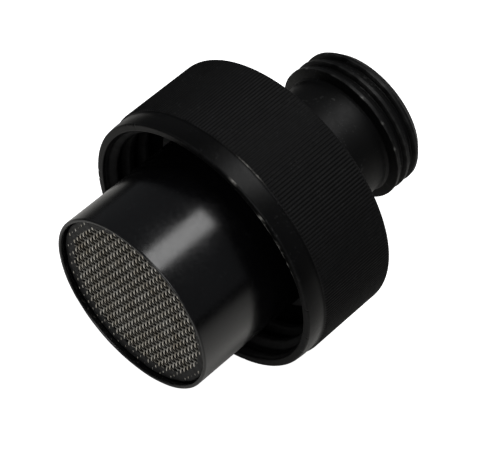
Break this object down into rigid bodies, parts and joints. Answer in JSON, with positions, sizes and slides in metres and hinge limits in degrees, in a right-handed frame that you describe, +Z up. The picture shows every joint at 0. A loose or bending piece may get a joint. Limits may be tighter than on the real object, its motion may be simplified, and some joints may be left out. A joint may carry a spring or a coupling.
{
  "type": "pneumatic muffler",
  "caption": "Round exhaust muffler drum with a woven outlet screen, a captive knurled union nut and a hollow neck with three hose ridges.",
  "frame": {"origin": "on the surface that the part lies on, under the middle of its length; it lies on its side, on the union nut", "axes": "-Y along the muffler's axis, from the neck's end face towards the outlet screen; +Z up; the axis is 37.5 mm above the origin"},
  "size_m": [0.075, 0.087, 0.075],
  "materials": {
    "neck_plastic": "satin black moulding",
    "collar_plastic": "matt black moulding",
    "slip_plastic": "natural white low-friction plastic",
    "nut_plastic": "matt charcoal moulding with a fine knurl",
    "seal_rubber": "matt black rubber",
    "barrel_plastic": "smooth semi-gloss black moulding",
    "fibre": "red fibre",
    "felt": "pale felt",
    "plate_steel": "perforated steel plate",
    "screw_steel": "plain steel",
    "fleece": "thin dark fleece",
    "screen_wire": "woven stainless wire",
    "bezel_plastic": "matt black moulding"
  },
  "bodies": {
    "muffler_core": {"neck_connector": "neck_plastic", "nut_stop_collar": "collar_plastic", "flange_gasket": "seal_rubber", "hub_o_ring": "seal_rubber", "muffler_barrel": "barrel_plastic", "boss_washer": "fibre", "lock_ring": "collar_plastic", "rear_absorber": "felt", "baffle_plate": "plate_steel", "baffle_screw_1": "screw_steel", "baffle_screw_2": "screw_steel", "baffle_screw_3": "screw_steel", "front_absorber": "felt", "absorber_scrim": "fleece", "support_grid": "collar_plastic", "outlet_screen": "screen_wire", "screen_bezel": "bezel_plastic", "inlet_screen": "screen_wire", "inlet_screen_clip": "screw_steel"},
    "slip_ring": {"slip_washer": "slip_plastic"},
    "nut": {"union_nut": "nut_plastic"}
  },
  "joints": [
    {"name": "nut_slide", "type": "slide", "parent": "muffler_core", "child": "slip_ring", "axis": [0, -1, 0], "range_m": [0, 0.0017]},
    {"name": "nut_spin", "type": "hinge", "parent": "slip_ring", "child": "nut", "pos_m": [0, -0.0031, 0.0375], "axis": [0, -1, 0], "continuous": true}
  ]
}
